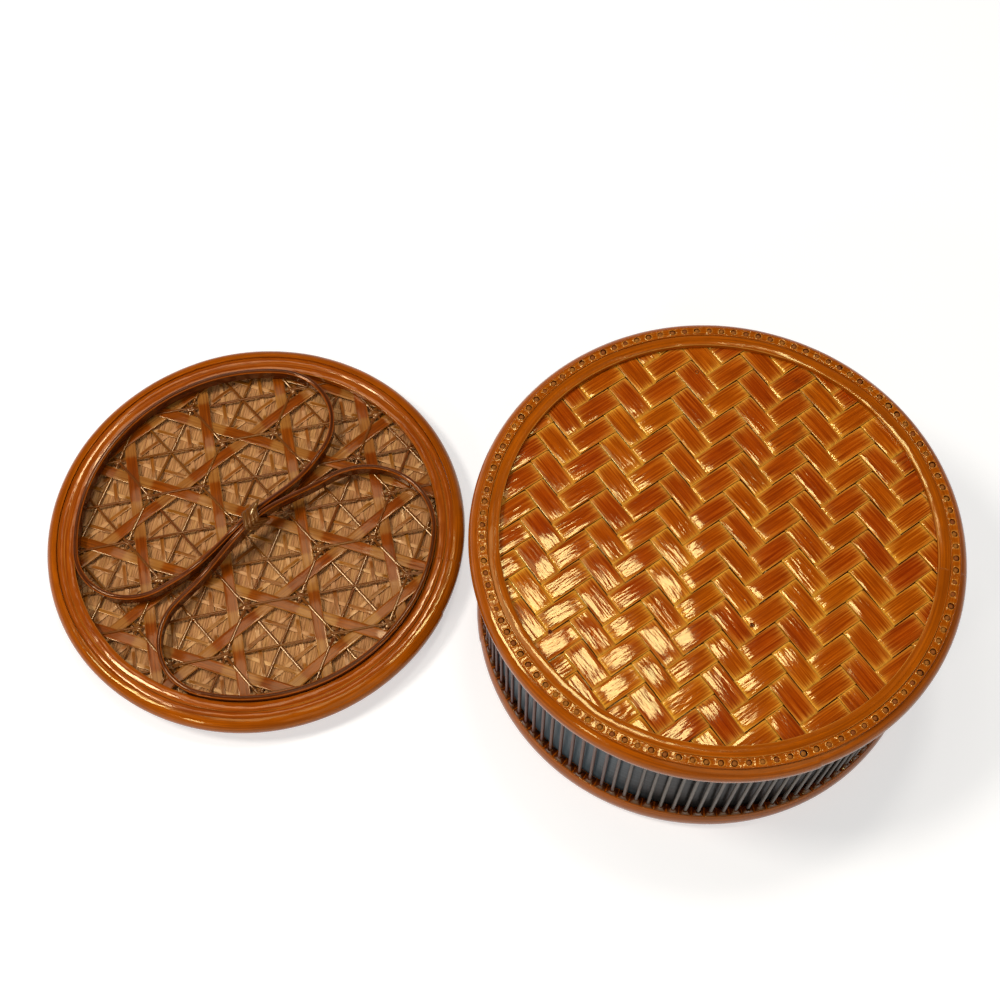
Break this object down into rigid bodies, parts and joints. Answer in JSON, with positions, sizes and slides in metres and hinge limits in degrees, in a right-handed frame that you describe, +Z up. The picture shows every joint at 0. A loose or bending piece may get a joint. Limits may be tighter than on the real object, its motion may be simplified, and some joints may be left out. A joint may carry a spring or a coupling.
{
  "type": "lacquered bamboo box",
  "caption": "Round lidded box of lacquered bamboo with a stick wall, a twill base and a star-weave lid with a two-loop handle, laid open with its lid beside it.",
  "frame": {"origin": "on the table, at the middle of the footprint of the box and the lid lying side by side", "axes": "+X from the lid towards the box, +Z up from the table; the box stands upside down, with its base on top"},
  "size_m": [0.3965, 0.2, 0.087],
  "materials": {
    "amber_lacquer": "glossy amber lacquer on bent bamboo",
    "red_lacquer": "glossy red-brown lacquer on bent bamboo",
    "twill_bamboo": "glossy amber lacquer on flat bamboo strips",
    "stick_bamboo": "satin dark brown bamboo",
    "dark_liner": "black lacquer on bent sheet",
    "tan_backing": "satin tan bamboo sheet",
    "fine_bamboo": "satin tan bamboo",
    "star_bamboo": "glossy dark bamboo",
    "wide_bamboo": "glossy red-brown bamboo",
    "handle_bamboo": "glossy dark brown bent bamboo",
    "lashing_cane": "glossy brown cane"
  },
  "bodies": {
    "box": {"base_outer_hoop": "amber_lacquer", "base_stick_hoop": "amber_lacquer", "base_inner_hoop": "red_lacquer", "base_board": "red_lacquer", "base_twill_warp": "twill_bamboo", "base_twill_weft": "twill_bamboo", "wall_sticks": "stick_bamboo", "wall_liner": "dark_liner", "mouth_stick_hoop": "amber_lacquer", "mouth_outer_hoop": "amber_lacquer"},
    "lid": {"lid_outer_hoop": "amber_lacquer", "lid_middle_hoop": "red_lacquer", "lid_inner_hoop": "red_lacquer", "lid_flange": "amber_lacquer", "lid_backing": "tan_backing", "lid_fine_strips_a": "fine_bamboo", "lid_fine_strips_b": "fine_bamboo", "lid_fine_strips_c": "fine_bamboo", "lid_star_strips_a": "star_bamboo", "lid_star_strips_b": "star_bamboo", "lid_star_strips_c": "star_bamboo", "lid_wide_strips_a": "wide_bamboo", "lid_wide_strips_b": "wide_bamboo", "lid_wide_strips_c": "wide_bamboo", "handle_loop_left": "handle_bamboo", "handle_loop_right": "handle_bamboo", "handle_lashing": "lashing_cane"}
  },
  "joints": [
    {"name": "lid_lift", "type": "slide", "parent": "box", "child": "lid", "axis": [0, 0, 1], "range_m": [0, 0.16]}
  ]
}
